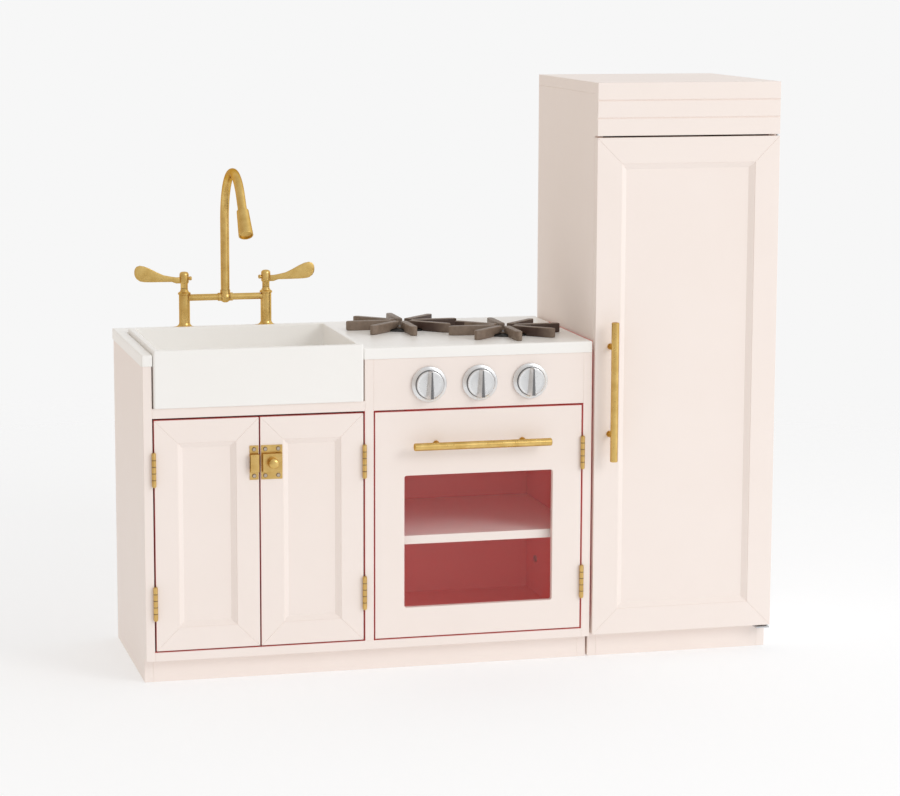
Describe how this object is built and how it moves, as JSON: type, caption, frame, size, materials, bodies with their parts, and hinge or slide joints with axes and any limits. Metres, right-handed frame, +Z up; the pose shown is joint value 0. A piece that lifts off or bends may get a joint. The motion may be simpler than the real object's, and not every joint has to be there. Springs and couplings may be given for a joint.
{
  "type": "toy kitchen",
  "caption": "Toy kitchen: a sink and oven unit with a faucet, hob, stove knobs and a small latched cupboard, joined to a tall fridge unit with a framed door.",
  "frame": {"origin": "centre of the footprint of the whole kitchen, pulls included, on the floor", "axes": "+X towards the fridge, along the kitchen's length; the fronts face -Y; +Z up"},
  "size_m": [1.11, 0.3914, 1],
  "materials": {
    "pink_paint": "satin painted board",
    "white_top": "smooth white painted top",
    "steel": "plain zinc plate",
    "white_basin": "smooth white",
    "brass": "satin",
    "burner_black": "matt black",
    "burner_cap": "satin grey",
    "grate": "dark moulded bars",
    "magnet": "moulded catch body",
    "window": "clear acrylic pane",
    "silver": "satin silver coat"
  },
  "bodies": {
    "cabinet": {"base_side_left": "pink_paint", "base_side_right": "pink_paint", "base_divider": "pink_paint", "base_bottom": "pink_paint", "base_toe_kick": "pink_paint", "base_back": "pink_paint", "sink_board": "pink_paint", "countertop": "white_top", "control_panel": "pink_paint", "oven_ceiling": "pink_paint", "oven_shelf": "pink_paint", "shelf_pins": "steel", "sink_basin": "white_basin", "faucet_column_left": "brass", "faucet_column_right": "brass", "faucet_bridge": "brass", "faucet_nuts": "steel", "burner_bodies": "burner_black", "burner_caps": "burner_cap", "burner_grate_left": "grate", "burner_grate_right": "grate", "fridge_side_left": "pink_paint", "fridge_side_right": "pink_paint", "fridge_top": "pink_paint", "fridge_bottom": "pink_paint", "fridge_toe_kick": "pink_paint", "fridge_back": "pink_paint", "fridge_header": "pink_paint", "fridge_shelves": "pink_paint", "unit_bolts": "steel", "hinge_fixed_leaves": "brass", "hinge_pins": "brass", "fridge_pivots": "steel", "magnet_catches": "magnet"},
    "sink_door_left": {"sink_door_left_frame": "pink_paint", "sink_door_left_panel": "pink_paint", "sink_door_left_hinge_leaves": "brass", "latch_strike": "brass"},
    "sink_door_right": {"sink_door_right_frame": "pink_paint", "sink_door_right_panel": "pink_paint", "sink_door_right_hinge_leaves": "brass", "latch_case": "brass"},
    "latch_turn_knob": {"latch_knob": "brass"},
    "latch_bolt": {"latch_bolt": "brass"},
    "oven_door": {"oven_door": "pink_paint", "oven_window": "window", "oven_handle": "brass", "oven_door_hinge_leaves": "brass", "oven_catch_plate": "steel"},
    "fridge_door": {"fridge_door_frame": "pink_paint", "fridge_door_panel": "pink_paint", "fridge_handle": "brass", "fridge_catch_plate": "steel"},
    "stove_knob_left": {"stove_knob_left": "silver"},
    "stove_knob_middle": {"stove_knob_middle": "silver"},
    "stove_knob_right": {"stove_knob_right": "silver"},
    "faucet_spout": {"faucet_spout": "brass", "faucet_nozzle": "brass"},
    "faucet_lever_left": {"faucet_lever_left": "brass"},
    "faucet_lever_right": {"faucet_lever_right": "brass"}
  },
  "joints": [
    {"name": "sink_door_left_hinge", "type": "hinge", "parent": "cabinet", "child": "sink_door_left", "pos_m": [-0.5365, -0.16205, 0.3], "axis": [0, 0, 1], "range_deg": [-95, 0]},
    {"name": "sink_door_right_hinge", "type": "hinge", "parent": "cabinet", "child": "sink_door_right", "pos_m": [-0.179, -0.16205, 0.3], "axis": [0, 0, 1], "range_deg": [0, 95]},
    {"name": "oven_door_hinge", "type": "hinge", "parent": "cabinet", "child": "oven_door", "pos_m": [0.2055, -0.16205, 0.3], "axis": [0, 0, 1], "range_deg": [0, 95]},
    {"name": "fridge_door_hinge", "type": "hinge", "parent": "cabinet", "child": "fridge_door", "pos_m": [0.551, -0.15825, 0.5], "axis": [0, 0, 1], "range_deg": [0, 110]},
    {"name": "stove_knob_left_turn", "type": "hinge", "parent": "cabinet", "child": "stove_knob_left", "pos_m": [-0.067, -0.15825, 0.4955], "axis": [0, 1, 0], "continuous": true},
    {"name": "stove_knob_middle_turn", "type": "hinge", "parent": "cabinet", "child": "stove_knob_middle", "pos_m": [0.022, -0.15825, 0.4955], "axis": [0, 1, 0], "continuous": true},
    {"name": "stove_knob_right_turn", "type": "hinge", "parent": "cabinet", "child": "stove_knob_right", "pos_m": [0.111, -0.15825, 0.4955], "axis": [0, 1, 0], "continuous": true},
    {"name": "faucet_spout_swivel", "type": "hinge", "parent": "cabinet", "child": "faucet_spout", "pos_m": [-0.358, 0.16375, 0.65], "axis": [0, 0, 1], "range_deg": [-45, 45]},
    {"name": "faucet_lever_left_turn", "type": "hinge", "parent": "cabinet", "child": "faucet_lever_left", "pos_m": [-0.431, 0.16375, 0.65], "axis": [0, 0, 1], "range_deg": [0, 90]},
    {"name": "faucet_lever_right_turn", "type": "hinge", "parent": "cabinet", "child": "faucet_lever_right", "pos_m": [-0.285, 0.16375, 0.65], "axis": [0, 0, 1], "range_deg": [-90, 0]},
    {"name": "latch_knob_turn", "type": "hinge", "parent": "sink_door_right", "child": "latch_turn_knob", "pos_m": [-0.33775, -0.16625, 0.373], "axis": [0, -1, 0], "range_deg": [0, 90]},
    {"name": "latch_bolt_slide", "type": "slide", "parent": "sink_door_right", "child": "latch_bolt", "axis": [-1, 0, 0], "range_m": [0, 0.009]}
  ],
  "couplings": [
    {"joint": "latch_bolt_slide", "follows": "latch_knob_turn", "m_per_rad": 0.0057296}
  ]
}
